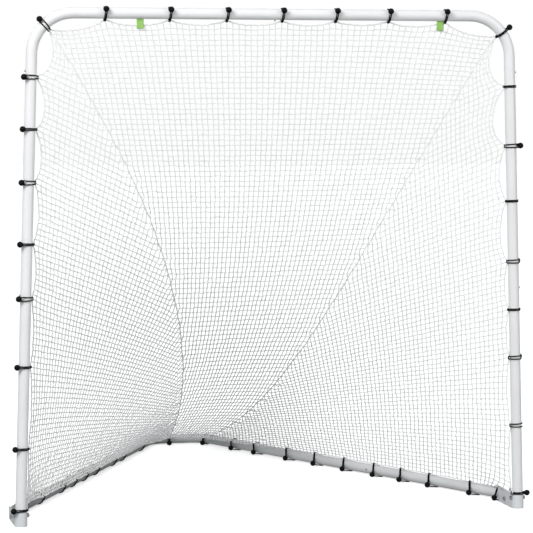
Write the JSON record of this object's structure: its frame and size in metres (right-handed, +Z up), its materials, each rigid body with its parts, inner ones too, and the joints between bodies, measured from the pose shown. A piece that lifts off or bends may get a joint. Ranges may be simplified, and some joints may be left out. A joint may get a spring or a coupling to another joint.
{
  "type": "folding goal with net",
  "caption": "Free-standing steel tube goal mouth on a V shaped ground base that folds up, with a slack square-mesh net tied on by ball bungees.",
  "frame": {"origin": "on the ground, under the middle of the whole goal's box", "axes": "+X across the mouth, +Y from the mouth to the back of the base, +Z up"},
  "size_m": [1.957, 1.9981, 1.8638],
  "materials": {
    "frame_paint": "white powder coat, satin",
    "base_paint": "white powder coat, satin, dulled by use on the ground",
    "bracket_paint": "white powder coat over folded steel",
    "sleeve_steel": "bare steel",
    "spring_steel": "blued spring steel",
    "button_steel": "plated steel",
    "bolt_steel": "zinc plated",
    "cap_plastic": "black polyethylene",
    "bungee_cord": "black braided elastic",
    "bungee_ball": "black moulded plastic",
    "net": "white knotless polyester twine",
    "border_cord": "white twine",
    "tape": "light green cloth tape"
  },
  "bodies": {
    "front_frame": {"border_cord_left": "border_cord", "border_cord_right": "border_cord", "border_cord_top": "border_cord", "bungee_balls_corners": "bungee_ball", "bungee_balls_crossbar": "bungee_ball", "bungee_balls_post_left": "bungee_ball", "bungee_balls_post_right": "bungee_ball", "bungee_cords_corners": "bungee_cord", "bungee_cords_crossbar": "bungee_cord", "bungee_cords_post_left": "bungee_cord", "bungee_cords_post_right": "bungee_cord", "crossbar_left": "frame_paint", "crossbar_right": "frame_paint", "crossbar_sleeve": "sleeve_steel", "crossbar_spring": "spring_steel", "elbow_left_sleeve": "sleeve_steel", "elbow_left_spring": "spring_steel", "elbow_right_sleeve": "sleeve_steel", "elbow_right_spring": "spring_steel", "foot_bracket_left": "bracket_paint", "foot_bracket_right": "bracket_paint", "lower_post_left": "frame_paint", "lower_post_right": "frame_paint", "pivot_bolts": "bolt_steel", "pivot_nuts": "bolt_steel", "post_bolts": "bolt_steel", "post_caps": "cap_plastic", "post_left_sleeve": "sleeve_steel", "post_left_spring": "spring_steel", "post_nuts": "bolt_steel", "post_right_sleeve": "sleeve_steel", "post_right_spring": "spring_steel", "tape_tags": "tape", "upper_post_left": "frame_paint", "upper_post_right": "frame_paint"},
    "base": {"base_left_sleeve": "sleeve_steel", "base_left_spring": "spring_steel", "base_leg_left": "base_paint", "base_leg_right": "base_paint", "base_rear": "base_paint", "base_right_sleeve": "sleeve_steel", "base_right_spring": "spring_steel", "bungee_balls_back": "bungee_ball", "bungee_balls_base_left": "bungee_ball", "bungee_balls_base_right": "bungee_ball", "bungee_cords_back": "bungee_cord", "bungee_cords_base_left": "bungee_cord", "bungee_cords_base_right": "bungee_cord", "leg_caps": "cap_plastic", "net_back": "net", "net_left": "net", "net_right": "net"},
    "base_left_button": {"base_left_button": "button_steel"},
    "base_right_button": {"base_right_button": "button_steel"},
    "crossbar_button": {"crossbar_button": "button_steel"},
    "elbow_left_button": {"elbow_left_button": "button_steel"},
    "elbow_right_button": {"elbow_right_button": "button_steel"},
    "post_left_button": {"post_left_button": "button_steel"},
    "post_right_button": {"post_right_button": "button_steel"}
  },
  "joints": [
    {"name": "base_fold", "type": "hinge", "parent": "front_frame", "child": "base", "pos_m": [0, -0.8763, 0.0245], "axis": [1, 0, 0], "range_deg": [0, 90], "deforming": ["net_left", "net_back", "net_right"]},
    {"name": "base_left_press", "type": "slide", "parent": "base", "child": "base_left_button", "axis": [-0.9036, 0.4283, 0], "range_m": [0, 0.0053], "stiffness_N_per_m": 800, "springref_m": -0.004, "deforming": ["base_left_spring"]},
    {"name": "base_right_press", "type": "slide", "parent": "base", "child": "base_right_button", "axis": [0.9036, 0.4283, 0], "range_m": [0, 0.0053], "stiffness_N_per_m": 800, "springref_m": -0.004, "deforming": ["base_right_spring"]},
    {"name": "crossbar_press", "type": "slide", "parent": "front_frame", "child": "crossbar_button", "axis": [0, 0, 1], "range_m": [0, 0.0053], "stiffness_N_per_m": 800, "springref_m": -0.004, "deforming": ["crossbar_spring"]},
    {"name": "elbow_left_press", "type": "slide", "parent": "front_frame", "child": "elbow_left_button", "axis": [0.9996, 0, -0.0287], "range_m": [0, 0.0053], "stiffness_N_per_m": 800, "springref_m": -0.004, "deforming": ["elbow_left_spring"]},
    {"name": "elbow_right_press", "type": "slide", "parent": "front_frame", "child": "elbow_right_button", "axis": [-0.9996, 0, -0.0287], "range_m": [0, 0.0053], "stiffness_N_per_m": 800, "springref_m": -0.004, "deforming": ["elbow_right_spring"]},
    {"name": "post_left_press", "type": "slide", "parent": "front_frame", "child": "post_left_button", "axis": [0.9996, 0, -0.0287], "range_m": [0, 0.0053], "stiffness_N_per_m": 800, "springref_m": -0.004, "deforming": ["post_left_spring"]},
    {"name": "post_right_press", "type": "slide", "parent": "front_frame", "child": "post_right_button", "axis": [-0.9996, 0, -0.0287], "range_m": [0, 0.0053], "stiffness_N_per_m": 800, "springref_m": -0.004, "deforming": ["post_right_spring"]}
  ]
}
